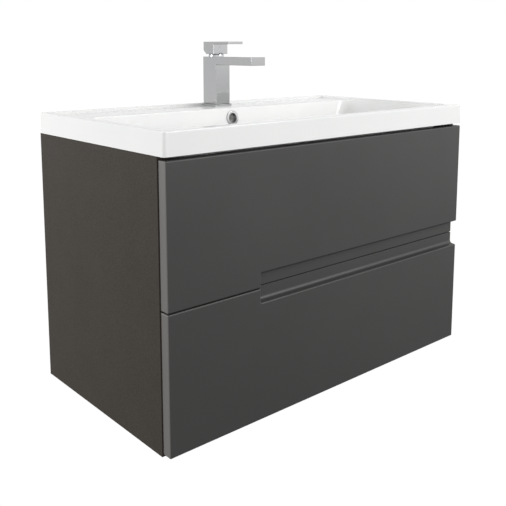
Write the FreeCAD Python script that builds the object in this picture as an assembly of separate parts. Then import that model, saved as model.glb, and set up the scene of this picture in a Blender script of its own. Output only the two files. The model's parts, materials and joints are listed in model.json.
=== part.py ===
"""Wall-hung bathroom vanity cabinet: two drawers, inset basin, single-lever tap and bottle trap.

Millimetres. X is the width, Y runs from the room (-Y) to the wall (+Y), Z is up. The origin is on the wall
face, at mid-width and mid-height of the upper rear rail, which is the height at which the cabinet hangs.
"""
import FreeCAD, Part
import math
import os

V = FreeCAD.Vector
X_AXIS = V(1, 0, 0)
Y_AXIS = V(0, 1, 0)
Z_AXIS = V(0, 0, 1)

# ---------------------------------------------------------------- driving dimensions
basin_width = 810.0
basin_depth = 440.0
basin_edge = 41.0            # height of the visible vertical edge
basin_draft = 2.0            # the edge leans in by this much from bottom to top
rim = 18.0                   # flat rim round the basin
deck_drop = 5.0              # tap deck below the rim
china = 11.0                 # wall thickness of the bowl
bowl_depth = 118.0
mouth_arris = 3.0            # rounding of the bowl's edge

carcass_width = 808.0
carcass_height = 510.0
carcass_depth = 419.0
board = 16.0
rail_height = 100.0

front_width = 804.0
front_height = 249.2
front_thickness = 20.0
front_gap = 1.6
top_gap = 6.0                # shadow gap under the basin
front_arris = 2.5            # rounding towards the room
back_arris = 0.8
recess_arris = 0.4           # the gap's edges inside the handle recess

recess_start = -202.0        # left end of the handle recess
recess_depth = 14.0
recess_up = 29.0             # height of the recess above the middle of the gap
recess_down = 27.5

box_length = 350.0
runner_space = 13.0          # between drawer box and side panel
runner_height = 45.0
runner_length = 338.0
box_board = 12.0

tap_y = -57.0
waste_y = -255.0

# ---------------------------------------------------------------- derived levels
carcass_top = rail_height / 2
carcass_bottom = carcass_top - carcass_height
rim_top = carcass_top + basin_edge
deck_top = rim_top - deck_drop
front_face = -basin_depth
front_back = front_face + front_thickness
upper_front_top = carcass_top - top_gap
upper_front_bottom = upper_front_top - front_height
lower_front_top = upper_front_bottom - front_gap
lower_front_bottom = lower_front_top - front_height
gap_middle = (upper_front_bottom + lower_front_top) / 2
inner_x = carcass_width / 2 - board
box_x = inner_x - runner_space


# ---------------------------------------------------------------- small helpers
def block(x0, x1, y0, y1, z0, z1):
    """A box between two corners."""
    return Part.makeBox(x1 - x0, y1 - y0, z1 - z0, V(x0, y0, z0))


def rod(radius, x, y, z0, z1):
    """An upright cylinder."""
    return Part.makeCylinder(radius, z1 - z0, V(x, y, z0), Z_AXIS)


def tube(outer, inner, x, y, z0, z1):
    """An upright tube."""
    return rod(outer, x, y, z0, z1).cut(rod(inner, x, y, z0, z1))


def rod_y(radius, x, z, y0, y1):
    """A cylinder along Y."""
    return Part.makeCylinder(radius, y1 - y0, V(x, y0, z), Y_AXIS)


def rod_x(radius, y, z, x0, x1):
    """A cylinder along X."""
    return Part.makeCylinder(radius, x1 - x0, V(x0, y, z), X_AXIS)


def hexagon(across_flats, x, y, z0, z1):
    """An upright hexagonal prism."""
    r = across_flats / math.sqrt(3)
    turns = [math.radians(60 * i) for i in range(7)]
    corners = [V(x + r * math.cos(turn), y + r * math.sin(turn), z0) for turn in turns]
    return Part.Face(Part.makePolygon(corners)).extrude(V(0, 0, z1 - z0))


def rounded_outline(x0, x1, y0, y1, z, radius):
    """A closed level wire: a rectangle with round corners."""
    r = radius
    k = r * (1 - math.sqrt(0.5))
    lines = [
        (V(x0 + r, y0, z), V(x1 - r, y0, z)),
        (V(x1, y0 + r, z), V(x1, y1 - r, z)),
        (V(x1 - r, y1, z), V(x0 + r, y1, z)),
        (V(x0, y1 - r, z), V(x0, y0 + r, z)),
    ]
    middles = [V(x1 - k, y0 + k, z), V(x1 - k, y1 - k, z), V(x0 + k, y1 - k, z), V(x0 + k, y0 + k, z)]
    edges = []
    for i, (start, end) in enumerate(lines):
        edges.append(Part.makeLine(start, end))
        edges.append(Part.Arc(end, middles[i], lines[(i + 1) % 4][0]).toShape())
    return Part.Wire(edges)


def rounded_block(x0, x1, y0, y1, z0, z1, radius):
    """A box with round upright corners."""
    return Part.Face(rounded_outline(x0, x1, y0, y1, z0, radius)).extrude(V(0, 0, z1 - z0))


def side_profile(points, x0, x1):
    """A prism along X from a list of (y, z) corners."""
    corners = [V(x0, y, z) for y, z in points]
    corners.append(corners[0])
    return Part.Face(Part.makePolygon(corners)).extrude(V(x1 - x0, 0, 0))


def edges_where(shape, test):
    """The edges whose bounding box passes a test."""
    return [e for e in shape.Edges if test(e.BoundBox)]


def flat_in_y(box, y):
    """True for the box of an edge that lies in the plane at y."""
    return abs(box.YMin - y) < 0.01 and abs(box.YMax - y) < 0.01


def flat_in_z(box, z):
    """True for the box of an edge that lies in the plane at z."""
    return abs(box.ZMin - z) < 0.01 and abs(box.ZMax - z) < 0.01


def mirrored(shape):
    """The same shape on the other side of the cabinet."""
    return shape.mirror(V(0, 0, 0), X_AXIS)


def save(name, *solids):
    """Writes one node; several solids stay separate in it."""
    shape = solids[0] if len(solids) == 1 else Part.makeCompound(list(solids))
    shape.exportStep("parts/" + name + ".step")
    sound = all(s.isValid() for s in shape.Solids)
    litres = shape.Volume / 1e6
    print("%-28s solids %2d  volume %8.4f l  valid %s" % (name, len(shape.Solids), litres, sound))


# ---------------------------------------------------------------- carcass
screw_x = 250.0              # wall screws, from the middle
screw_radius = 4.0
hanger_notch_width = 50.0
hanger_notch_height = 58.0
cam_radius = 7.5
cam_depth = 12.0
cam_inset = 24.0
lower_rail_height = 80.0
middle_rail_depth = 60.0


def make_carcass():
    panel = block(-carcass_width / 2, -inner_x, -carcass_depth, 0, carcass_bottom, carcass_top)
    save("side_panel_left", panel)
    save("side_panel_right", mirrored(panel))

    floor_top = carcass_bottom + board
    bottom = block(-inner_x, inner_x, -carcass_depth, 0, carcass_bottom, floor_top)
    upper = block(-inner_x, inner_x, -board, 0, -rail_height / 2, carcass_top)
    lower = block(-inner_x, inner_x, -board, 0, floor_top, floor_top + lower_rail_height)
    middle = block(-inner_x, inner_x, -carcass_depth, -carcass_depth + middle_rail_depth,
                   gap_middle - board / 2, gap_middle + board / 2)

    cams = []
    for side in (-1, 1):
        outer, inner = sorted((side * inner_x, side * (inner_x - hanger_notch_width)))
        upper = upper.cut(block(outer, inner, -board, 0, carcass_top - hanger_notch_height, carcass_top))
        for rail_z in (0.0, floor_top + lower_rail_height / 2):
            hole = rod_y(screw_radius, side * screw_x, rail_z, -board, 0)
            upper = upper.cut(hole)
            lower = lower.cut(hole)
        cam_x = side * (inner_x - cam_inset)
        for rail_z in (-rail_height / 2 + cam_inset, floor_top + lower_rail_height / 2):
            cam = rod_y(cam_radius, cam_x, rail_z, -board, -board + cam_depth)
            upper = upper.cut(cam)
            lower = lower.cut(cam)
            cams.append(cam)
        for cam_y in (-carcass_depth + 60, -90):
            cam = rod(cam_radius, cam_x, cam_y, floor_top - cam_depth, floor_top)
            bottom = bottom.cut(cam)
            cams.append(cam)
        cam = rod(cam_radius, cam_x, -carcass_depth + middle_rail_depth / 2,
                  gap_middle - board / 2, gap_middle - board / 2 + cam_depth)
        middle = middle.cut(cam)
        cams.append(cam)

    save("bottom_panel", bottom)
    save("upper_rear_rail", upper)
    save("lower_rear_rail", lower)
    save("middle_rail", middle)
    save("cam_locks", *[cam_with_slot(c) for c in cams])


def cam_with_slot(cam):
    """A cam lock's body with the cross slot of its driver."""
    box = cam.BoundBox
    centre = box.Center
    half = 1.0
    reach = 5.0
    deep = 3.0
    for wide, tall in ((reach, half), (half, reach)):
        if abs(box.YLength - 2 * cam_radius) < 0.01:
            face = box.ZMax if centre.z < carcass_bottom + board else box.ZMin
            slot = block(-wide, wide, -tall, tall, -deep, deep).translated(V(centre.x, centre.y, face))
        else:
            slot = block(-wide, wide, -deep, deep, -tall, tall).translated(V(centre.x, box.YMin, centre.z))
        cam = cam.cut(slot)
    return cam


def make_hangers():
    """A housing on the side panel, with a steel hook that reaches back through the rail's notch."""
    hook_width = 24.0
    housing = rounded_block(-inner_x, -inner_x + 38, -72, -18, -6, 44, 3)
    lever_slot = block(-inner_x + 7, -inner_x + 7 + hook_width, -40, -18, 26, 40)
    housing = housing.cut(lever_slot)
    hook_x0 = -inner_x + 7
    arm = block(hook_x0, hook_x0 + hook_width, -40, -4, 28, 31)
    lip = block(hook_x0, hook_x0 + hook_width, -7, -4, 12, 31)
    barb = block(hook_x0, hook_x0 + hook_width, -9, -7, 12, 15)
    hook = arm.fuse(lip).fuse(barb).removeSplitter()
    screws = []
    for screw_z in (8.0, 24.0):
        head = rod_y(4.5, -inner_x + 19, screw_z, -75, -72)
        cross = block(-inner_x + 16, -inner_x + 22, -75, -73.5, screw_z - 0.6, screw_z + 0.6)
        cross = cross.fuse(block(-inner_x + 18.4, -inner_x + 19.6, -75, -73.5, screw_z - 3, screw_z + 3))
        screws.append(head.cut(cross))
    save("wall_hanger_left", housing, hook, *screws)
    save("wall_hanger_right", *[mirrored(s) for s in (housing, hook, *screws)])


# ---------------------------------------------------------------- drawer fronts
recess_floor = front_face + recess_depth
upper_slope = 6.0            # the recess roof falls towards the back
lower_slope = 1.5            # the recess ledge falls towards the room
ledge_corner = 12.0          # sweep of the ledge's left end at the recess floor
ledge_cove = 7.0             # hollow between the recess floor and the ledge
roof_cove = 2.0
roof_corner = 3.0
overshoot = 6.0              # how far a cutter runs past a face


def upper_cutter():
    """The milling path along the lower edge of the upper front."""
    roof = gap_middle + recess_up
    outside = front_face - overshoot
    profile = [
        (outside, roof + upper_slope * overshoot / recess_depth),
        (recess_floor, roof - upper_slope),
        (recess_floor, upper_front_bottom - overshoot),
        (outside, upper_front_bottom - overshoot),
    ]
    tool = side_profile(profile, recess_start, front_width / 2 + overshoot)
    lowest = roof - upper_slope - 0.01
    corner = edges_where(tool, lambda b: abs(b.XMax - recess_start) < 0.01 and b.ZMin > lowest)
    tool = tool.makeFillet(roof_corner, corner)
    cove = edges_where(tool, lambda b: flat_in_y(b, recess_floor) and b.ZMax > upper_front_bottom and
                       b.XMin < front_width / 2)
    return tool.makeFillet(roof_cove, cove)


def lower_cutter():
    """The milling path along the upper edge of the lower front: a coved ledge that sweeps up at its left."""
    ledge = gap_middle - recess_down
    outside = front_face - 2.0
    profile = [
        (outside, lower_front_top + overshoot),
        (recess_floor, lower_front_top + overshoot),
        (recess_floor, ledge + lower_slope),
        (outside, ledge - lower_slope * 2.0 / recess_depth),
    ]
    tool = side_profile(profile, recess_start, front_width / 2 + overshoot)
    highest = ledge + lower_slope + 0.01
    corner = edges_where(tool, lambda b: abs(b.XMax - recess_start) < 0.01 and b.ZMax < highest)[0]
    starts_at_face = corner.Vertexes[0].Y < corner.Vertexes[1].Y
    radii = (1.0, ledge_corner) if starts_at_face else (ledge_corner, 1.0)
    tool = tool.makeFillet(radii[0], radii[1], [corner])
    cove = edges_where(tool, lambda b: flat_in_y(b, recess_floor) and b.ZMin < lower_front_top and
                       b.XMin < front_width / 2)
    return tool.makeFillet(ledge_cove, cove)


def make_front(z0, z1, cutter):
    """A front board with its recess milled and every outer arris softened, least at the back."""
    half = front_width / 2
    plate = block(-half, half, front_face, front_back, z0, z1).cut(cutter)

    def at_back(box):
        return flat_in_y(box, front_back)

    def at_end(box):
        return flat_in_z(box, z0) or flat_in_z(box, z1)

    def in_recess(box):
        return at_end(box) and box.YMin > front_face + front_arris and not at_back(box) and box.XLength > recess_depth

    def outer(box):
        on_side = abs(box.XMax - box.XMin) < 0.01 and abs(abs(box.XMax) - half) < 0.01
        return not at_back(box) and (flat_in_y(box, front_face) or at_end(box) or on_side)

    plate = plate.makeFillet(recess_arris, edges_where(plate, in_recess))
    plate = plate.makeFillet(front_arris, edges_where(plate, lambda b: outer(b) and not in_recess(b)))
    return plate.makeFillet(back_arris, edges_where(plate, at_back))


# ---------------------------------------------------------------- drawer boxes
base_thickness = 8.0
base_lift = 10.0
groove = 6.0
surround_x = 115.0
surround_front = -325.0
surround_wall = 3.0
surround_corner = 35.0
upper_box_bottom = -180.0
upper_box_height = 118.0
lower_box_bottom = carcass_bottom + board + 8.0
lower_box_height = 170.0
screw_columns = (-300.0, 300.0)


def drawer_box(name, z0, height, levels, slotted):
    """An open box of thin boards behind a front; slotted boxes leave a bay for the trap."""
    y_front = front_back
    y_back = y_front + box_length
    z1 = z0 + height
    base_top = z0 + base_lift + base_thickness
    base = block(-box_x + groove, box_x - groove, y_front + groove, y_back, z0 + base_lift, base_top)
    side = block(-box_x, -box_x + box_board, y_front, y_back, z0, z1)
    inner = block(-box_x + box_board, box_x - box_board, y_front, y_front + box_board, z0, z1)
    back = block(-box_x + box_board, box_x - box_board, y_back - box_board, y_back, base_top, z1)
    save(name + "_drawer_side_left", side.cut(base))
    save(name + "_drawer_side_right", mirrored(side.cut(base)))
    save(name + "_drawer_inner_front", drilled(inner.cut(base), levels))
    if slotted:
        past = y_back + 60
        inner_half = surround_x - surround_wall
        bay = rounded_block(-surround_x, surround_x, surround_front, past, z0 - 1, z1 + 1, surround_corner)
        hollow = rounded_block(-inner_half, inner_half, surround_front + surround_wall, past, z0 - 1, z1 + 1,
                               surround_corner - surround_wall)
        depth = block(-200, 200, surround_front - 1, y_back, z0 + base_lift - 2, z1)
        surround = bay.cut(hollow).common(depth)
        base = base.cut(bay)
        back = back.cut(bay)
        save(name + "_drawer_trap_surround", surround)
    save(name + "_drawer_base", base)
    save(name + "_drawer_back", *back.Solids)


def screw_shape(x, z):
    """A countersunk screw through the inner front into the front board, without its cross slot."""
    head = Part.makeCone(2.0, 4.2, 2.4, V(x, front_back + box_board - 2.4, z), Y_AXIS)
    return head.fuse(rod_y(2.0, x, z, front_back - 8, front_back + box_board - 2.4)).removeSplitter()


def front_screws(name, levels):
    """The screws that hold a drawer's front to its box."""
    y_head = front_back + box_board
    screws = []
    for x in screw_columns:
        for z in levels:
            cross = block(x - 2.4, x + 2.4, y_head - 1.2, y_head, z - 0.5, z + 0.5)
            cross = cross.fuse(block(x - 0.5, x + 0.5, y_head - 1.2, y_head, z - 2.4, z + 2.4))
            screws.append(screw_shape(x, z).cut(cross))
    save(name, *screws)


def drilled(board_shape, levels):
    """A board with the screws' holes in it."""
    for x in screw_columns:
        for z in levels:
            board_shape = board_shape.cut(screw_shape(x, z))
    return board_shape


# ---------------------------------------------------------------- runners
sheet = 1.2                  # rolled steel
ball_pitch = 24.0
ball_count = 6


def channel(u0, u1, half_height, web_at_start, y0, y1):
    """A steel channel along Y, u counted from the side panel's inner face towards the middle."""
    x0 = -inner_x + u0
    x1 = -inner_x + u1
    body = block(x0, x1, y0, y1, -half_height, half_height)
    if web_at_start:
        hollow = block(x0 + sheet, x1 + 1, y0 - 1, y1 + 1, -half_height + sheet, half_height - sheet)
    else:
        hollow = block(x0 - 1, x1 - sheet, y0 - 1, y1 + 1, -half_height + sheet, half_height - sheet)
    return body.cut(hollow)


def cage_row(u, z, y0, ball_radius):
    """A strip with its row of balls, running between two members."""
    x = -inner_x + u
    strip = block(x - 1.4, x + 1.4, y0, y0 + ball_pitch * ball_count, z - 0.5, z + 0.5)
    for i in range(ball_count):
        strip = strip.fuse(Part.makeSphere(ball_radius, V(x, y0 + ball_pitch * (i + 0.5), z)))
    return strip


def save_pairs(name, z, shapes):
    """Writes the shapes of the left runner, raised to z, with their mirror images on the right."""
    left = [s.translated(V(0, 0, z)) for s in shapes]
    save(name, *left, *[mirrored(s) for s in left])


def make_runners(name, z):
    """Both full-extension slides of one drawer, closed: three members each and the balls between them."""
    y0 = front_back + 6
    y1 = y0 + runner_length
    cabinet = channel(0, 10.4, runner_height / 2, True, y0, y1)
    for hole_y in (y0 + 37, y1 - 60):
        cabinet = cabinet.cut(rod_x(2.1, hole_y, 0, -inner_x - 1, -inner_x + sheet + 1))
    stop = block(-inner_x + sheet, -inner_x + 10.4, y1 - sheet, y1, -10, 10)
    cabinet = cabinet.fuse(stop).removeSplitter()
    middle = channel(3.2, 10.6, 16.4, True, y0 + 4, y1 - 4)
    drawer = channel(6.4, runner_space, 11.4, False, y0 + 1, y1 - 8)
    for hole_y in (y0 + 30, y1 - 70):
        web = -inner_x + runner_space
        drawer = drawer.cut(rod_x(2.1, hole_y, 0, web - sheet - 1, web + 1))
    outer_cages = [cage_row(7.2, sign * 18.85, y0 + 92, 2.1) for sign in (-1, 1)]
    inner_cages = [cage_row(8.5, sign * 13.3, y0 + 94.5, 1.6) for sign in (-1, 1)]
    save_pairs(name + "_runner_cabinet_members", z, [cabinet])
    save_pairs(name + "_runner_middle_members", z, [middle])
    save_pairs(name + "_runner_drawer_members", z, [drawer])
    save_pairs(name + "_outer_ball_cages", z, outer_cages)
    save_pairs(name + "_inner_ball_cages", z, inner_cages)


def make_soft_close(levels):
    """Damper units clipped behind the cabinet members."""
    units = []
    y1 = front_back + 6 + runner_length
    for z in levels:
        case = block(-inner_x, -inner_x + 12, y1, y1 + 44, z - 9, z + 9)
        unit = case.makeFillet(2.0, edges_where(case, lambda b: b.YLength > 40))
        units.append(unit)
        units.append(mirrored(unit))
    save("soft_close_units", *units)


# ---------------------------------------------------------------- basin
bowl_x = 382.0
bowl_front = -420.0
bowl_back = -110.0
floor_x = 331.0
floor_front = -366.0
floor_back = -124.0
mouth_corner = 24.0          # the bowl's corners, seen from above
floor_corner = 50.0
foot_radius = 22.0           # where the walls meet the bowl's floor
overflow_radius = 13.0
wall_gap = 0.05              # the ring's flange stands this far off the glaze
overflow_z = rim_top - 28.5
waste_hole = 22.5
boss_drop = 18.0
bowl_floor = rim_top - bowl_depth
china_bottom = bowl_floor - china - boss_drop


def bowl_solid(grow):
    """The bowl's hollow, or its outside when grown by the wall thickness."""
    low = bowl_floor - grow
    top = rounded_outline(-bowl_x - grow, bowl_x + grow, bowl_front - grow, bowl_back + grow,
                          rim_top, mouth_corner + grow)
    bottom = rounded_outline(-floor_x - grow, floor_x + grow, floor_front - grow, floor_back + grow,
                             low, floor_corner + grow)
    body = Part.makeLoft([bottom, top], True, True)
    foot = edges_where(body, lambda b: flat_in_z(b, low))
    return body.makeFillet(foot_radius + grow, foot)


def on_back_wall(shape):
    """Moves a shape made about Y = 0 to the overflow's place, leaning with the bowl's back wall."""
    slope = (bowl_back - floor_back) / bowl_depth
    moved = shape.copy()
    moved.rotate(V(0, 0, 0), X_AXIS, -math.degrees(math.atan(slope)))
    moved.translate(V(0, bowl_back - (rim_top - overflow_z) * slope - wall_gap, overflow_z))
    return moved


def make_basin():
    half = basin_width / 2
    low = rounded_outline(-half, half, -basin_depth, 0, carcass_top, 6)
    high = rounded_outline(-half + basin_draft, half - basin_draft, -basin_depth + basin_draft, 0,
                           rim_top, 5)
    slab = Part.makeLoft([low, high], True, True)
    slab = slab.makeFillet(3.0, edges_where(slab, lambda b: flat_in_z(b, rim_top)))
    skirt = 14.0
    under = deck_top - 14.0
    hollow = block(-half + skirt, half - skirt, -basin_depth + skirt, -skirt, carcass_top - 1, under)
    slab = slab.cut(hollow)

    outside = bowl_solid(china).common(block(-half, half, -basin_depth + 6, 0, -200, rim_top - 8))
    duct_y1 = bowl_back + china + 17
    duct = block(-20, 20, bowl_back - 4, duct_y1, china_bottom + 2, under + 2)
    duct = duct.fuse(block(-20, 20, waste_y, duct_y1, china_bottom + 2, bowl_floor - 4))
    boss = rod(38, 0, waste_y, china_bottom, bowl_floor - 2)
    body = slab.fuse(outside).fuse(duct).fuse(boss)

    deck = rounded_block(-half + rim + 1, half - rim - 1, bowl_back - 20, -rim, deck_top, rim_top + 2, 8)
    body = body.cut(bowl_solid(0)).cut(deck)
    passage = block(-14, 14, bowl_back + china, duct_y1 - 6, china_bottom + 8, overflow_z + overflow_radius)
    passage = passage.fuse(block(-14, 14, waste_y, duct_y1 - 6, china_bottom + 8, bowl_floor - china))
    body = body.cut(passage)
    body = body.cut(on_back_wall(rod_y(overflow_radius, 0, 0, -12, china + 4)))
    body = body.cut(rod(waste_hole, 0, waste_y, china_bottom - 1, rim_top))
    body = body.cut(rod(34, 0, waste_y, bowl_floor - 2.2, rim_top))
    body = body.cut(rod(17.5, 0, tap_y, under - 1, rim_top)).removeSplitter()

    def mouth(box):
        inside = box.XMin > -bowl_x - 1 and box.XMax < bowl_x + 1 and box.YMin > bowl_front - 1
        at_rim = flat_in_z(box, rim_top) and box.YMax < bowl_back + 1
        at_deck = flat_in_z(box, deck_top) and abs(box.YMax - bowl_back) < 1.5 and box.XLength > 100
        return inside and (at_rim or at_deck)

    body = body.makeFillet(mouth_arris, edges_where(body, mouth))
    save("basin", body)

    ring = rod_y(16.5, 0, 0, -2.4, 0)
    ring = ring.makeFillet(1.2, edges_where(ring, lambda b: flat_in_y(b, -2.4)))
    sleeve = rod_y(overflow_radius - 0.3, 0, 0, 0, 9)
    ring = ring.fuse(sleeve).cut(rod_y(11.2, 0, 0, -3, 10)).removeSplitter()
    save("overflow_ring", on_back_wall(ring))


# ---------------------------------------------------------------- waste and trap
tail_radius = 16.0
trap_z = -150.0


def make_waste():
    seat = bowl_floor - 2.2
    flange = rod(32, 0, waste_y, seat, seat + 3)
    flange = flange.makeFillet(1.2, edges_where(flange, lambda b: flat_in_z(b, seat + 3)))
    barrel = rod(20, 0, waste_y, china_bottom - 24, seat)
    tail = rod(tail_radius, 0, waste_y, china_bottom - 55, china_bottom - 24)
    body = flange.fuse(barrel).fuse(tail)
    body = body.cut(rod(17, 0, waste_y, china_bottom - 20, seat + 4))
    body = body.cut(rod(14, 0, waste_y, china_bottom - 56, china_bottom - 20))
    port = block(-30, 30, waste_y - 7, waste_y + 7, china_bottom + 8, bowl_floor - china)
    body = body.cut(port)
    guide_z = china_bottom - 18
    guide = rod(7, 0, waste_y, guide_z, guide_z + 14)
    for turn in (0, 90):
        arm = block(-18, 18, waste_y - 1.5, waste_y + 1.5, guide_z, guide_z + 5)
        arm.rotate(V(0, waste_y, 0), Z_AXIS, turn)
        guide = guide.fuse(arm)
    body = body.fuse(guide).cut(rod(4.3, 0, waste_y, guide_z - 1, guide_z + 15)).removeSplitter()
    save("waste_body", body)
    save("waste_seal", tube(30, 20, 0, waste_y, china_bottom - 4, china_bottom))
    nut = hexagon(56, 0, waste_y, china_bottom - 13, china_bottom - 4).cut(rod(20, 0, waste_y, -200, 0))
    save("waste_nut", nut)

    plug_z = seat + 3.3
    disc = rod(30, 0, waste_y, plug_z, plug_z + 5)
    disc = disc.makeFillet(3.0, edges_where(disc, lambda b: flat_in_z(b, plug_z + 5)))
    collar = tube(16.4, 13.5, 0, waste_y, plug_z - 6, plug_z)
    stem = rod(4, 0, waste_y, guide_z + 2, plug_z)
    save("waste_plug", disc.fuse(collar).fuse(stem).removeSplitter())


def make_trap():
    top = china_bottom - 55
    head_low = trap_z - 24
    head_top = trap_z + 22
    thread = tail_radius + 0.4
    head = tube(29, 26, 0, waste_y, head_low, head_top)
    lid = tube(29, thread, 0, waste_y, head_top, head_top + 3)
    neck = tube(20, thread, 0, waste_y, head_top + 3, top + 6)
    stub = rod_y(20, 0, trap_z, waste_y + 24, waste_y + 44)
    head = head.fuse(lid).fuse(neck).fuse(stub)
    head = head.cut(rod(26, 0, waste_y, head_low - 1, head_top))
    head = head.cut(rod_y(tail_radius, 0, trap_z, waste_y + 20, waste_y + 50)).removeSplitter()
    save("trap_body", head)

    cup_low = head_low - 32
    cup = rod(31, 0, waste_y, cup_low, head_low)
    cup = cup.makeFillet(8.0, edges_where(cup, lambda b: flat_in_z(b, cup_low)))
    cup = cup.fuse(rod(25.6, 0, waste_y, head_low, head_low + 10))
    cup = cup.cut(rod(23, 0, waste_y, cup_low + 4, trap_z))
    for i in range(12):
        rib = block(30, 32.5, -1.5, 1.5, cup_low + 12, head_low - 2)
        rib.rotate(V(0, 0, 0), Z_AXIS, 30 * i)
        rib.translate(V(0, waste_y, 0))
        cup = cup.fuse(rib)
    save("trap_cup", cup.removeSplitter())

    upright = tube(24, 20.2, 0, waste_y, top - 14, top + 6)
    upright = upright.fuse(tube(24, tail_radius + 0.2, 0, waste_y, top + 6, top + 9))
    level = rod_y(24, 0, trap_z, waste_y + 32, waste_y + 50)
    level = level.cut(rod_y(20.2, 0, trap_z, waste_y + 32, waste_y + 46))
    level = level.cut(rod_y(tail_radius + 0.2, 0, trap_z, waste_y + 40, waste_y + 52))
    save("trap_nuts", upright.removeSplitter(), level)
    pipe = rod_y(tail_radius, 0, trap_z, waste_y + 51, 0)
    pipe = pipe.fuse(rod_y(tail_radius - 0.2, 0, trap_z, waste_y + 30, waste_y + 51))
    pipe = pipe.cut(rod_y(14, 0, trap_z, waste_y + 29, 1)).removeSplitter()
    save("trap_outlet_pipe", pipe)


# ---------------------------------------------------------------- tap
tap_width = 39.0
tap_deep = 48.0
plate_lip = 3.0
plate_height = 6.0
tap_top = rim_top + 107.5
spout_end = -202.0
spout_thick = 18.0
dome_radius = 17.5
lever_gap = 6.0
lever_block_y0 = -73.0
lever_block_y1 = -35.4
lever_width = 40.0
lever_block_height = 22.0
blade = 5.4
blade_end = -127.0
pin_radius = 1.6             # pin that the lever tips on
pin_reach = 8.0


def make_tap():
    half = tap_width / 2
    y0 = tap_y - tap_deep / 2
    y1 = tap_y + tap_deep / 2
    plate_top = deck_top + plate_height
    plate = block(-half - plate_lip, half + plate_lip, y0 - plate_lip, y1 + plate_lip, deck_top, plate_top)
    plate = plate.makeFillet(1.2, edges_where(plate, lambda b: b.ZMax > deck_top + 0.1))
    plate = plate.cut(rod(16.2, 0, tap_y, deck_top - 1, plate_top + 1))
    save("tap_base_plate", plate)

    column = block(-half, half, y0, y1, plate_top, tap_top)
    spout = block(-half, half, spout_end, y0, tap_top - spout_thick, tap_top)
    body = column.fuse(spout).removeSplitter()
    body = body.makeFillet(0.8, body.Edges)
    shank = rod(16, 0, tap_y, deck_top - 8, plate_top + 1)
    body = body.fuse(shank)
    body = body.cut(rod(dome_radius + 0.1, 0, tap_y, tap_top - 36, tap_top + 1))
    aerator_y = spout_end + 15
    body = body.cut(rod(11, 0, aerator_y, tap_top - spout_thick - 1, tap_top - spout_thick + 9))
    body = body.cut(rod_y(5, 0, tap_top - spout_thick / 2 + 1, aerator_y, tap_y))
    for x in (-8, 8):
        body = body.cut(rod(6, x, tap_y - 5, deck_top - 9, deck_top + 6))
    body = body.cut(rod(4, 0, tap_y + 7, deck_top - 9, deck_top + 6))
    save("tap_body", body)

    face = tap_top - spout_thick
    aerator = rod(11, 0, aerator_y, face + 0.2, face + 9).cut(rod(8.5, 0, aerator_y, face, face + 2))
    grid = rod(9, 0, aerator_y, face + 0.4, face + 3)
    for x in range(-6, 7, 3):
        grid = grid.cut(block(x - 0.8, x + 0.8, aerator_y - 6, aerator_y + 6, face, face + 2))
    save("tap_aerator", aerator.fuse(grid).removeSplitter())

    dome = Part.makeSphere(dome_radius, V(0, tap_y, tap_top))
    dome = dome.common(rod(dome_radius, 0, tap_y, tap_top, tap_top + 11.7))
    dome = dome.fuse(rod(dome_radius, 0, tap_y, tap_top - 6, tap_top))
    hollow = Part.makeSphere(dome_radius - 1.8, V(0, tap_y, tap_top)).fuse(
        rod(dome_radius - 1.8, 0, tap_y, tap_top - 7, tap_top))
    save("tap_dome", dome.cut(hollow).removeSplitter())
    cartridge = rod(17, 0, tap_y, tap_top - 36, tap_top - 6)
    cartridge = cartridge.fuse(rod(15, 0, tap_y, tap_top - 6, tap_top - 4.6)).removeSplitter()
    save("tap_cartridge", cartridge)
    rotor = rod(14.5, 0, tap_y, tap_top - 4.2, tap_top + 3)
    rotor = rotor.cut(block(-4.5, 4.5, tap_y - 8, tap_y + 8, tap_top - 5, tap_top + 4))
    rotor = rotor.cut(rod_x(pin_radius + 0.05, tap_y, tap_top, -pin_reach - 0.3, pin_reach + 0.3))
    save("tap_cartridge_rotor", rotor)

    under = deck_top - 14.0
    stud = rod(4, 0, tap_y + 7, under - 42, deck_top + 6)
    save("tap_stud", stud)
    washer = tube(23, 17.8, 0, tap_y, under - 3, under)
    bridge = block(-12, 12, tap_y + 2, tap_y + 14, under - 6, under - 3)
    bridge = bridge.cut(rod(4.2, 0, tap_y + 7, under - 7, under))
    bridge = bridge.common(rod(22, 0, tap_y, under - 6, under - 3))
    save("tap_clamp_washer", washer.fuse(bridge).removeSplitter())
    nut = hexagon(13, 0, tap_y + 7, under - 14, under - 6).cut(rod(4, 0, tap_y + 7, under - 20, under))
    save("tap_nut", nut)
    inlets = []
    for x in (-8, 8):
        inlet = rod(6, x, tap_y - 5, under - 14, deck_top + 6)
        inlets.append(inlet.cut(rod(4.4, x, tap_y - 5, under - 15, under + 4)))
    save("tap_inlets", *inlets)


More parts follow.
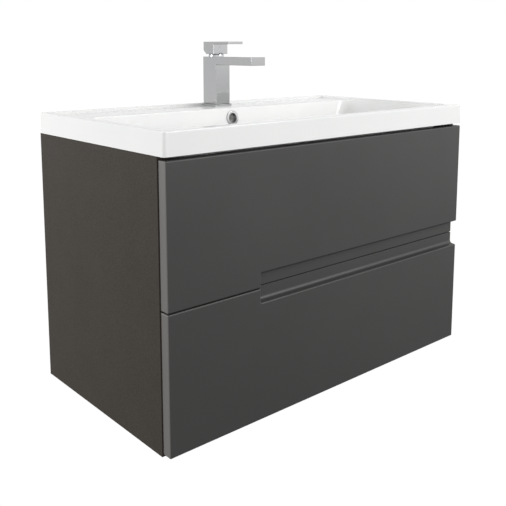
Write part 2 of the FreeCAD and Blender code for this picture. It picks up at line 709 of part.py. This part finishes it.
def make_lever():
    z0 = tap_top + lever_gap
    z1 = z0 + lever_block_height
    half = lever_width / 2
    top = z1 + blade
    profile = [(lever_block_y0, z0), (lever_block_y1 - 10, z0), (lever_block_y1, z0 + 8),
               (lever_block_y1, top), (blade_end, top), (blade_end, z1), (lever_block_y0, z1)]
    lever = side_profile(profile, -half, half)
    lever = lever.makeFillet(0.7, lever.Edges)
    lever = lever.cut(Part.makeSphere(dome_radius + 0.7, V(0, tap_y, tap_top)))
    lever = lever.cut(block(-4, 4, tap_y - 4, tap_y + 4, z0, z0 + 18))
    lever = lever.cut(rod_y(2.6, 0, z0 + 15.5, lever_block_y0 - 1, tap_y - 4))
    save("lever_handle", lever)
    stem = block(-4, 4, tap_y - 4, tap_y + 4, tap_top - 2.2, z0 + 18)
    stem = stem.fuse(rod_x(pin_radius, tap_y, tap_top, -pin_reach, pin_reach)).removeSplitter()
    save("lever_stem", stem)
    screw = rod_y(2.6, 0, z0 + 15.5, lever_block_y0 + 4, tap_y - 4)
    cap = rod_y(2.6, 0, z0 + 15.5, lever_block_y0 - 0.4, lever_block_y0 + 3)
    save("lever_grub_screw", screw)
    save("lever_index_cap", cap)


# ---------------------------------------------------------------- the whole cabinet
def main():
    os.makedirs("parts", exist_ok=True)
    for old in os.listdir("parts"):
        os.remove("parts/" + old)
    make_carcass()
    make_hangers()
    upper_levels = (upper_box_bottom + 35, upper_box_bottom + 85)
    lower_levels = (lower_box_bottom + 40, lower_box_bottom + 130)
    upper_front = make_front(upper_front_bottom, upper_front_top, upper_cutter())
    lower_front = make_front(lower_front_bottom, lower_front_top, lower_cutter())
    save("upper_drawer_front", drilled(upper_front, upper_levels))
    save("lower_drawer_front", drilled(lower_front, lower_levels))
    drawer_box("upper", upper_box_bottom, upper_box_height, upper_levels, True)
    drawer_box("lower", lower_box_bottom, lower_box_height, lower_levels, False)
    upper_runner_z = upper_box_bottom + 50
    lower_runner_z = lower_box_bottom + 80
    make_runners("upper", upper_runner_z)
    make_runners("lower", lower_runner_z)
    make_soft_close((upper_runner_z, lower_runner_z))
    front_screws("upper_front_screws", upper_levels)
    front_screws("lower_front_screws", lower_levels)
    make_basin()
    make_waste()
    make_trap()
    make_tap()
    make_lever()


main()
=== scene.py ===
# %% [markdown]
# # A wall-hung vanity cabinet
# The object is a bathroom cabinet that hangs on the wall: two wide drawers behind graphite fronts, a slim
# white basin that covers the whole top, a square chrome tap, and the waste trap behind the drawers. The
# boards, the china and the metal were all designed in CAD at their true size. What is left for Blender is
# what the eye reads first: how each surface takes the light.

# %% Load the model
import json
import math

import bmesh
import bpy
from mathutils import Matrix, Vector


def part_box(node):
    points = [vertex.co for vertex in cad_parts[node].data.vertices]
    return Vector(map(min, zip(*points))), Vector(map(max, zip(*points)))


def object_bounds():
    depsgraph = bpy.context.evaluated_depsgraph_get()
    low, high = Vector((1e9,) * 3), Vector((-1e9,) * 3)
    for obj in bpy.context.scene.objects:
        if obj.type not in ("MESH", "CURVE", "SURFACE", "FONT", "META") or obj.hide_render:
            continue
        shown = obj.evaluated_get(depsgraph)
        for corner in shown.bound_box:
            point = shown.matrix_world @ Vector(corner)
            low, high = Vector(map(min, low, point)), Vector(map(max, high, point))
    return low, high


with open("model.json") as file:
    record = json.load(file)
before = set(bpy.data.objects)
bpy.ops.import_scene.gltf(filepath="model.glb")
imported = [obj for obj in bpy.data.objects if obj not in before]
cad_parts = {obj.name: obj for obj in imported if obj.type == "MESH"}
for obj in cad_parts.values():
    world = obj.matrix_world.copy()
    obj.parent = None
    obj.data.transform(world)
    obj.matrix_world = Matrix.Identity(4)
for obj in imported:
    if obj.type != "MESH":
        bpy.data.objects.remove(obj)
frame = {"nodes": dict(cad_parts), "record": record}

cad_box = [list(corner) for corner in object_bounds()]
low, high = Vector(cad_box[0]), Vector(cad_box[1])
size_text = " x ".join("%.0f" % (side * 1000) for side in high - low)
print("cabinet with tap: " + size_text + " mm, " + str(len(frame["nodes"])) + " parts")

# %% [markdown]
# ## The camera
# The cabinet is looked at from the left and a little above the basin. To keep upright edges upright, a
# studio camera is held level and its lens is shifted down. A shift as large as that would push the tap out
# of the frame in views from other sides, so this camera is shifted only part of the way and tipped down for
# the rest. The upright edges lean a little as a result.

# %% Camera
basin_low, basin_high = (Vector(corner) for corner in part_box("basin"))
rim_height = basin_high.z
camera_above_rim = 0.130
tipped_down = math.radians(8.23)
turned_right = math.radians(40.92)

camera_data = bpy.data.cameras.new("studio_camera")
camera_data.sensor_width = 36.0
camera_data.lens = 51.75
camera_data.shift_y = -0.20
camera = bpy.data.objects.new("studio_camera", camera_data)
camera.location = (-1.031, -1.374, rim_height + camera_above_rim)
camera.rotation_euler = (math.radians(90.0) - tipped_down, 0.0, -turned_right)
bpy.context.scene.collection.objects.link(camera)
bpy.context.scene.camera = camera
print("camera %.2f m from the middle of the basin" % (camera.location - (basin_low + basin_high) / 2).length)

# %% [markdown]
# ## Helpers for materials
# Paint charts and screens give colours as hex codes, which are stored with a curve that suits the eye.
# Blender calculates with plain amounts of light, so one function undoes that curve. A second small function
# adds a node, sets its values and joins it to what feeds it. That keeps each material below down to the
# list of what it is made of. Texture scales are stated as the real size of one grain, thread or wave in
# millimetres.


# %% Helpers
def linear(code):
    """A hex colour as the linear RGBA that shaders use."""
    parts = [int(code[i:i + 2], 16) / 255 for i in (1, 3, 5)]
    curve = [p / 12.92 if p <= 0.04045 else ((p + 0.055) / 1.055) ** 2.4 for p in parts]
    return (*curve, 1.0)


def add(tree, kind, settings=None, feeds=None):
    """Adds one node, sets its values or properties, and links the sockets that feed it."""
    node = tree.nodes.new("ShaderNode" + kind)
    for key, value in (settings or {}).items():
        if isinstance(key, int) or key in node.inputs:
            node.inputs[key].default_value = value
        else:
            setattr(node, key, value)
    for key, socket in (feeds or {}).items():
        tree.links.new(socket, node.inputs[key])
    return node


def blank(name):
    """A new material, its emptied node tree, and the object coordinates that its textures are placed by."""
    material = bpy.data.materials.new(name)
    material.use_nodes = True
    tree = material.node_tree
    tree.nodes.clear()
    place = add(tree, "TexCoord").outputs["Object"]
    return material, tree, place


def stops(node, *pairs):
    """Sets a colour ramp's stops from (position, colour) pairs."""
    ramp = node.color_ramp
    while len(ramp.elements) < len(pairs):
        ramp.elements.new(0.5)
    for element, (position, colour) in zip(ramp.elements, pairs):
        element.position = position
        element.color = colour if isinstance(colour, tuple) else (colour, colour, colour, 1.0)
    return node.outputs["Color"]


def per_mm(size):
    """The texture scale at which one feature is this many millimetres."""
    return 1000.0 / size


def line_scale(size):
    """The wave texture's scale for lines this many millimetres apart: it draws 20 in 2 pi of its coordinate."""
    return per_mm(size) * math.tau / 20.0


made = {}
print("helpers ready")

# %% [markdown]
# ## Graphite melamine board
# The sides, bottom and rails are melamine-faced chipboard: printed paper under a hard clear resin, pressed
# against a steel plate with a very fine pearl texture. The eye gets a warm dark grey with a faint speckle
# and a soft, broad sheen. The speckle of the real press plate is about half a millimetre, which is too fine
# to show from here, so it is drawn at a millimetre and a half.


# %% Graphite melamine board
def graphite_melamine():
    material, tree, place = blank("graphite_melamine")
    speckle = add(tree, "TexNoise", {"Scale": per_mm(1.5), "Detail": 3.0, "Roughness": 0.7},
                  {"Vector": place})
    cloud = add(tree, "TexNoise", {"Scale": per_mm(60.0), "Detail": 2.0}, {"Vector": place})
    faint_cloud = add(tree, "Math", {"operation": "MULTIPLY_ADD", 1: 0.06, 2: 0.095},
                      {0: cloud.outputs["Fac"]})
    both = add(tree, "Math", {"operation": "MULTIPLY_ADD", 1: 0.75},
               {0: speckle.outputs["Fac"], 2: faint_cloud.outputs[0]})
    colour = stops(add(tree, "ValToRGB", {}, {"Fac": both.outputs[0]}),
                   (0.36, linear("#332F2A")), (0.64, linear("#4B453F")))
    sheen = stops(add(tree, "ValToRGB", {}, {"Fac": both.outputs[0]}), (0.3, 0.60), (0.7, 0.50))
    pearl = add(tree, "Bump", {"Strength": 0.25, "Distance": 0.0001}, {"Height": speckle.outputs["Fac"]})
    shader = add(tree, "BsdfPrincipled", {"IOR": 1.5, "Specular IOR Level": 0.15},
                 {"Base Color": colour, "Roughness": sheen, "Normal": pearl.outputs[0]})
    add(tree, "OutputMaterial", {}, {"Surface": shader.outputs[0]})
    return material


made["carcass_board"] = graphite_melamine()
print("made", made["carcass_board"].name)

# %% [markdown]
# ## Graphite lacquered fronts
# The fronts are medium-density fibreboard, milled first and then sprayed, so the lacquer runs unbroken over
# the rounded arrises and into the handle recess. Sprayed satin lacquer dries with a faint orange peel:
# waves a few millimetres long and hundredths of a millimetre high. It shows as a slow unevenness in the
# sheen and nothing more, so the bump stays very weak. The narrow ends of the fronts get painted light: a
# lighter grey than their faces that stands in for the side light on them, so the colour depends on how far a
# face looks sideways.


# %% Graphite lacquered fronts
def graphite_lacquer():
    material, tree, place = blank("graphite_lacquer")
    peel = add(tree, "TexNoise", {"Scale": per_mm(4.0), "Detail": 2.0, "Roughness": 0.5}, {"Vector": place})
    dust = add(tree, "TexNoise", {"Scale": per_mm(1.2), "Detail": 2.0}, {"Vector": place})
    drift = add(tree, "TexNoise", {"Scale": per_mm(180.0), "Detail": 2.0}, {"Vector": place})
    half_drift = add(tree, "Math", {"operation": "MULTIPLY", 1: 0.5}, {0: drift.outputs["Fac"]})
    blend = add(tree, "Math", {"operation": "MULTIPLY_ADD", 1: 0.5},
                {0: dust.outputs["Fac"], 2: half_drift.outputs[0]})
    face = stops(add(tree, "ValToRGB", {}, {"Fac": blend.outputs[0]}),
                 (0.35, linear("#383837")), (0.65, linear("#3E3E3D")))
    # painted light: a lighter grey for the narrow ends, standing in for the side light that falls on them
    painted_end_light = stops(add(tree, "ValToRGB", {}, {"Fac": blend.outputs[0]}),
                (0.35, linear("#686664")), (0.65, linear("#706E6C")))
    # mask for the painted light: faces that look sideways take the lighter grey
    facing = add(tree, "SeparateXYZ", {}, {0: add(tree, "NewGeometry").outputs["Normal"]})
    sideways = add(tree, "Math", {"operation": "ABSOLUTE"}, {0: facing.outputs["X"]})
    painted_light_at_end = add(tree, "MapRange", {"From Min": 0.35, "From Max": 0.8}, {"Value": sideways.outputs[0]})
    colour = add(tree, "Mix", {"data_type": "RGBA"}, {0: painted_light_at_end.outputs[0], 6: face, 7: painted_end_light}).outputs[2]
    sheen = stops(add(tree, "ValToRGB", {}, {"Fac": blend.outputs[0]}), (0.35, 0.46), (0.65, 0.40))
    skin = add(tree, "Bump", {"Strength": 0.08, "Distance": 0.0001}, {"Height": peel.outputs["Fac"]})
    shader = add(tree, "BsdfPrincipled", {"IOR": 1.5, "Specular IOR Level": 0.6},
                 {"Base Color": colour, "Roughness": sheen, "Normal": skin.outputs[0]})
    add(tree, "OutputMaterial", {}, {"Surface": shader.outputs[0]})
    return material


made["front_board"] = graphite_lacquer()
print("made", made["front_board"].name)

# %% [markdown]
# ## Linen-embossed drawer boards
# Behind the fronts, the drawer boxes are thin boards with a grey laminate that is embossed like linen. A
# weave can be made from two crossed sets of stripes. Here each direction of the room has its own stripes,
# so every face of a board, whichever way it stands, shows the two sets that run along it and never the
# third. Real threads are about 0.7 mm apart, and are drawn at 2.4 mm so that they show.


# %% Linen-embossed drawer boards
def linen_laminate():
    material, tree, place = blank("linen_laminate")
    waver = add(tree, "TexNoise", {"Scale": per_mm(9.0), "Detail": 2.0}, {"Vector": place})
    threads = None
    for axis in "XYZ":
        stripes = add(tree, "TexWave",
                      {"bands_direction": axis, "Scale": line_scale(2.4), "Distortion": 0.8, "Detail": 1.0},
                      {"Vector": place})
        if threads is None:
            threads = stripes.outputs["Fac"]
        else:
            total = add(tree, "Math", {"operation": "ADD"}, {0: threads, 1: stripes.outputs["Fac"]})
            threads = total.outputs[0]
    faint_waver = add(tree, "Math", {"operation": "MULTIPLY", 1: 0.34}, {0: waver.outputs["Fac"]})
    uneven = add(tree, "Math", {"operation": "MULTIPLY_ADD", 1: 0.22},
                 {0: threads, 2: faint_waver.outputs[0]})
    colour = stops(add(tree, "ValToRGB", {}, {"Fac": uneven.outputs[0]}),
                   (0.2, linear("#5A5957")), (0.8, linear("#7B7A77")))
    weave = add(tree, "Bump", {"Strength": 0.3, "Distance": 0.00015}, {"Height": threads})
    shader = add(tree, "BsdfPrincipled", {"IOR": 1.5, "Roughness": 0.55},
                 {"Base Color": colour, "Normal": weave.outputs[0]})
    add(tree, "OutputMaterial", {}, {"Surface": shader.outputs[0]})
    return material


made["drawer_board"] = linen_laminate()
print("made", made["drawer_board"].name)

# %% [markdown]
# ## Glazed china
# The basin is slip-cast vitreous china under a white glaze. The glaze is glass, so its gloss is sharp, and
# it pools a little while it melts, which leaves slow waves several centimetres long. Underneath and at the
# back the china is wiped bare before firing, so there it is a matt, slightly creamy biscuit. Which way a
# face looks decides between the two, and only faces that look down or straight back are bare.


# %% Glazed china
def glazed_china():
    material, tree, place = blank("glazed_china")
    pool = add(tree, "TexNoise", {"Scale": per_mm(70.0), "Detail": 1.0}, {"Vector": place})
    grit = add(tree, "TexNoise", {"Scale": per_mm(2.5), "Detail": 3.0}, {"Vector": place})
    facing = add(tree, "SeparateXYZ", {}, {0: add(tree, "NewGeometry").outputs["Normal"]})
    down = add(tree, "MapRange", {"From Min": -0.55, "From Max": -0.75}, {"Value": facing.outputs["Z"]})
    back = add(tree, "MapRange", {"From Min": 0.97, "From Max": 0.995}, {"Value": facing.outputs["Y"]})
    bare = add(tree, "Math", {"operation": "MAXIMUM"}, {0: down.outputs[0], 1: back.outputs[0]}).outputs[0]
    glaze = stops(add(tree, "ValToRGB", {}, {"Fac": pool.outputs["Fac"]}),
                  (0.3, linear("#F5F6F5")), (0.7, linear("#F8F8F7")))
    biscuit = stops(add(tree, "ValToRGB", {}, {"Fac": grit.outputs["Fac"]}),
                    (0.35, linear("#DAD6CC")), (0.65, linear("#E4E0D7")))
    colour = add(tree, "Mix", {"data_type": "RGBA"}, {0: bare, 6: glaze, 7: biscuit}).outputs[2]
    gloss = stops(add(tree, "ValToRGB", {}, {"Fac": bare}), (0.0, 0.10), (1.0, 0.75))
    wave = add(tree, "Bump", {"Strength": 0.06, "Distance": 0.001}, {"Height": pool.outputs["Fac"]})
    tooth_strength = add(tree, "Math", {"operation": "MULTIPLY", 1: 0.4}, {0: bare})
    tooth = add(tree, "Bump", {"Distance": 0.0002},
                {"Strength": tooth_strength.outputs[0], "Height": grit.outputs["Fac"],
                 "Normal": wave.outputs[0]})
    shader = add(tree, "BsdfPrincipled", {"IOR": 1.5},
                 {"Base Color": colour, "Roughness": gloss, "Normal": tooth.outputs[0]})
    add(tree, "OutputMaterial", {}, {"Surface": shader.outputs[0]})
    return material


made["china"] = glazed_china()
print("made", made["china"].name)

# %% [markdown]
# ## Chrome plate
# The tap, overflow ring and waste are brass castings, ground flat, polished and plated with nickel and
# chromium. Chrome is a mirror with a cool grey tint. Hand polishing leaves the flats not quite flat, so
# reflections bend very slightly, and handling leaves a faint bloom that makes the gloss uneven.


# %% Chrome plate
def chrome_plate():
    material, tree, place = blank("chrome_plate")
    polish = add(tree, "TexNoise", {"Scale": per_mm(28.0), "Detail": 1.0}, {"Vector": place})
    bloom = add(tree, "TexNoise", {"Scale": per_mm(9.0), "Detail": 4.0}, {"Vector": place})
    gloss = stops(add(tree, "ValToRGB", {}, {"Fac": bloom.outputs["Fac"]}), (0.35, 0.05), (0.70, 0.09))
    tint = stops(add(tree, "ValToRGB", {}, {"Fac": bloom.outputs["Fac"]}),
                 (0.3, linear("#B8B9BA")), (0.7, linear("#BBBBBC")))
    bend = add(tree, "Bump", {"Strength": 0.02, "Distance": 0.001}, {"Height": polish.outputs["Fac"]})
    shader = add(tree, "BsdfPrincipled", {"Metallic": 1.0},
                 {"Base Color": tint, "Roughness": gloss, "Normal": bend.outputs[0]})
    add(tree, "OutputMaterial", {}, {"Surface": shader.outputs[0]})
    return material


made["chrome"] = chrome_plate()
print("made", made["chrome"].name)

# %% [markdown]
# ## Turned brass
# The stud, nut and inlets under the deck are free-cutting brass straight off the lathe. A lathe leaves fine
# rings, so the gloss is drawn out across them. The rings are about 0.2 mm apart and are drawn at 0.6 mm.


# %% Turned brass
def turned_brass():
    material, tree, place = blank("turned_brass")
    rings = add(tree, "TexWave", {"bands_direction": "Z", "Scale": line_scale(0.6), "Distortion": 0.5},
                {"Vector": place})
    tarnish = add(tree, "TexNoise", {"Scale": per_mm(6.0), "Detail": 3.0}, {"Vector": place})
    colour = stops(add(tree, "ValToRGB", {}, {"Fac": tarnish.outputs["Fac"]}),
                   (0.3, linear("#B08D4A")), (0.7, linear("#CFAE68")))
    gloss = stops(add(tree, "ValToRGB", {}, {"Fac": tarnish.outputs["Fac"]}), (0.3, 0.35), (0.7, 0.22))
    turning = add(tree, "Bump", {"Strength": 0.2, "Distance": 0.00005}, {"Height": rings.outputs["Fac"]})
    shader = add(tree, "BsdfPrincipled", {"Metallic": 1.0},
                 {"Base Color": colour, "Roughness": gloss, "Normal": turning.outputs[0]})
    add(tree, "OutputMaterial", {}, {"Surface": shader.outputs[0]})
    return material


made["brass"] = turned_brass()
print("made", made["brass"].name)

# %% [markdown]
# ## Zinc-plated steel
# Runners, hooks and screws are steel, rolled and then plated with bright zinc. Rolling leaves fine lines
# along the strip, and the clear blue passivation after plating dries in soft clouds. The lines are made by
# squeezing the noise in two directions and stretching it along the runner.


# %% Zinc-plated steel
def zinc_steel():
    material, tree, place = blank("zinc_plated_steel")
    stretched = add(tree, "Mapping", {"Scale": (1.0, 0.02, 1.0)}, {"Vector": place})
    rolled = add(tree, "TexNoise", {"Scale": per_mm(0.8), "Detail": 2.0}, {"Vector": stretched.outputs[0]})
    cloud = add(tree, "TexNoise", {"Scale": per_mm(14.0), "Detail": 3.0}, {"Vector": place})
    colour = stops(add(tree, "ValToRGB", {}, {"Fac": cloud.outputs["Fac"]}),
                   (0.3, linear("#A3A8AD")), (0.7, linear("#BDBFBF")))
    gloss = stops(add(tree, "ValToRGB", {}, {"Fac": rolled.outputs["Fac"]}), (0.3, 0.26), (0.7, 0.42))
    lines = add(tree, "Bump", {"Strength": 0.15, "Distance": 0.00005}, {"Height": rolled.outputs["Fac"]})
    shader = add(tree, "BsdfPrincipled", {"Metallic": 1.0},
                 {"Base Color": colour, "Roughness": gloss, "Normal": lines.outputs[0]})
    add(tree, "OutputMaterial", {}, {"Surface": shader.outputs[0]})
    return material


made["zinc_steel"] = zinc_steel()
print("made", made["zinc_steel"].name)

# %% [markdown]
# ## Plastics and rubber
# The trap is white polypropylene, the bay round it and the small housings are charcoal ABS, and the seal is
# EPDM rubber. All three are moulded, so they differ in colour, in gloss and in the texture etched into the
# mould, but not in how they are built. One function makes all of them from those few facts.


# %% Plastics and rubber
def moulded(name, dark, light, roughness, grain, depth):
    """A moulded plastic or rubber, from two close shades, its gloss, and its grain's size and strength."""
    material, tree, place = blank(name)
    etch = add(tree, "TexVoronoi", {"Scale": per_mm(grain)}, {"Vector": place})
    flow = add(tree, "TexNoise", {"Scale": per_mm(25.0), "Detail": 2.0}, {"Vector": place})
    colour = stops(add(tree, "ValToRGB", {}, {"Fac": flow.outputs["Fac"]}),
                   (0.3, linear(dark)), (0.7, linear(light)))
    gloss = stops(add(tree, "ValToRGB", {}, {"Fac": flow.outputs["Fac"]}),
                  (0.3, roughness + 0.04), (0.7, roughness - 0.04))
    skin = add(tree, "Bump", {"Strength": depth, "Distance": 0.0001}, {"Height": etch.outputs["Distance"]})
    shader = add(tree, "BsdfPrincipled", {"IOR": 1.49},
                 {"Base Color": colour, "Roughness": gloss, "Normal": skin.outputs[0]})
    add(tree, "OutputMaterial", {}, {"Surface": shader.outputs[0]})
    return material


made["white_plastic"] = moulded("white_polypropylene", "#E2E2DD", "#EBEBE7", 0.32, 1.5, 0.08)
made["grey_plastic"] = moulded("charcoal_abs", "#2C2D2F", "#363739", 0.45, 1.0, 0.2)
made["black_rubber"] = moulded("epdm_rubber", "#141516", "#1C1D1E", 0.72, 0.8, 0.15)
print("made", ", ".join(made[slot].name for slot in ("white_plastic", "grey_plastic", "black_rubber")))

# %% [markdown]
# ## Dressing the parts
# The record of the part says which finish each piece has, so the materials are handed out from that list.
# Sawn boards are never quite sharp: a strip of edging is scraped to a radius of under half a millimetre,
# and that hairline is what catches the light along a board. A bevel modifier on each board gives it that
# line and leaves the board's size alone.

# %% Dressing the parts
edging_radius = 0.0004
same_point = 0.00001
sharp_corner = math.radians(40.0)
sawn = ("carcass_board", "drawer_board")

for subpart in frame["record"]["subparts"]:
    piece = frame["nodes"][subpart["node"]]
    slot = subpart["material_slot"]
    piece.data.materials.clear()
    piece.data.materials.append(made[slot])
    if slot in sawn:
        weld = piece.modifiers.new("join_corners", "WELD")
        weld.merge_threshold = same_point
        bevel = piece.modifiers.new("edging_radius", "BEVEL")
        bevel.width = edging_radius
        bevel.segments = 2
        bevel.limit_method = "ANGLE"
        bevel.angle_limit = sharp_corner
        bevel.use_clamp_overlap = True
        bevel.harden_normals = False

# %% [markdown]
# ## Floor and surround
# The cabinet hangs clear of a plain pale floor, at the height that puts the basin's rim at about 85 cm.
# Floor and surround are one closed room of white paper, lit so evenly that no line shows between them. A
# paper room that big would also decide how the cabinet is lit, so it is made visible to the camera alone,
# and the light is set separately in the next step.

# %% Floor and surround
rim_above_floor = 0.85
room_radius = 25.0
floor_level = rim_height - rim_above_floor


def white_paper():
    material, tree, place = blank("white_paper")
    fibres = add(tree, "TexNoise", {"Scale": per_mm(400.0), "Detail": 2.0}, {"Vector": place})
    glow = add(tree, "MapRange", {"To Min": 0.99, "To Max": 1.03}, {"Value": fibres.outputs["Fac"]})
    shader = add(tree, "Emission", {"Color": linear("#FFFFFF")}, {"Strength": glow.outputs[0]})
    add(tree, "OutputMaterial", {}, {"Surface": shader.outputs[0]})
    return material


room_mesh = bmesh.new()
bmesh.ops.create_uvsphere(room_mesh, u_segments=64, v_segments=32, radius=room_radius)
bmesh.ops.bisect_plane(room_mesh, geom=room_mesh.verts[:] + room_mesh.edges[:] + room_mesh.faces[:],
                       plane_co=(0.0, 0.0, floor_level), plane_no=(0.0, 0.0, 1.0), clear_inner=True)
rim_edges = [edge for edge in room_mesh.edges if edge.is_boundary]
bmesh.ops.contextual_create(room_mesh, geom=rim_edges)
paper_mesh = bpy.data.meshes.new("paper_floor_and_surround")
room_mesh.to_mesh(paper_mesh)
room_mesh.free()
paper_mesh.materials.append(white_paper())
paper = bpy.data.objects.new("paper_floor_and_surround", paper_mesh)
bpy.context.scene.collection.objects.link(paper)
paper.visible_diffuse = False
paper.visible_glossy = False
paper.visible_transmission = False
paper.visible_shadow = False
print("floor at %.3f m, %d faces of paper" % (floor_level, len(paper_mesh.polygons)))

# %% [markdown]
# ## Light
# Dark boards and chrome get nearly all of their look from what they reflect, so the light is drawn as a
# whole surround first: brightest in a band just above eye level, less overhead, and much darker from below,
# where a real studio has its grey floor. The wall in front is brighter than the wall behind, which gives
# chrome its darker side and keeps the glazed deck from glaring.
#
# Two big softboxes are added. One stands at the left, behind the wall's line, and lifts the ends of the
# boards. The other is high at the front right, and lights the fronts and their upper arrises.

# %% Light
world = bpy.data.worlds.new("studio_surround")
world.use_nodes = True
tree = world.node_tree
tree.nodes.clear()
ray = add(tree, "TexCoord").outputs["Generated"]
height = add(tree, "MapRange", {"From Min": -1.0, "From Max": 1.0},
             {"Value": add(tree, "SeparateXYZ", {}, {0: ray}).outputs["Z"]}).outputs[0]
front_wall = stops(add(tree, "ValToRGB", {}, {"Fac": height}), (0.0, 0.02), (0.30, 0.17), (0.44, 0.74),
                   (0.475, 0.86), (0.50, 1.14), (0.56, 1.46), (0.75, 0.74), (1.0, 0.34))
back_wall = stops(add(tree, "ValToRGB", {}, {"Fac": height}), (0.0, 0.02), (0.30, 0.42), (0.46, 0.90),
                  (0.56, 0.80), (0.75, 0.60), (1.0, 0.34))
towards = add(tree, "VectorMath", {"operation": "DOT_PRODUCT", 1: (0.35, -0.94, 0.0)}, {0: ray})
turn = add(tree, "MapRange", {"From Min": -1.0, "From Max": 1.0}, {"Value": towards.outputs["Value"]})
level = add(tree, "Mix", {"data_type": "RGBA"}, {0: turn.outputs[0], 6: back_wall, 7: front_wall})
background = add(tree, "Background", {}, {"Color": level.outputs[2]})
add(tree, "OutputWorld", {}, {"Surface": background.outputs[0]})
bpy.context.scene.world = world
softbox_side = 1.2


def softbox(name, place, target, power):
    """A square area light that looks at a point."""
    data = bpy.data.lights.new(name, "AREA")
    data.size = softbox_side
    data.energy = power
    light = bpy.data.objects.new(name, data)
    light.location = place
    light.rotation_euler = (Vector(target) - Vector(place)).to_track_quat("-Z", "Y").to_euler()
    light.visible_camera = False
    bpy.context.scene.collection.objects.link(light)


middle = (low + high) / 2
softbox("left_softbox", (-2.6, 1.2, 0.7), middle, 33.0)
softbox("front_right_softbox", (1.1, -2.2, 1.3), middle, 22.0)
bpy.context.scene.view_settings.view_transform = "Standard"
print("surround and two softboxes ready")
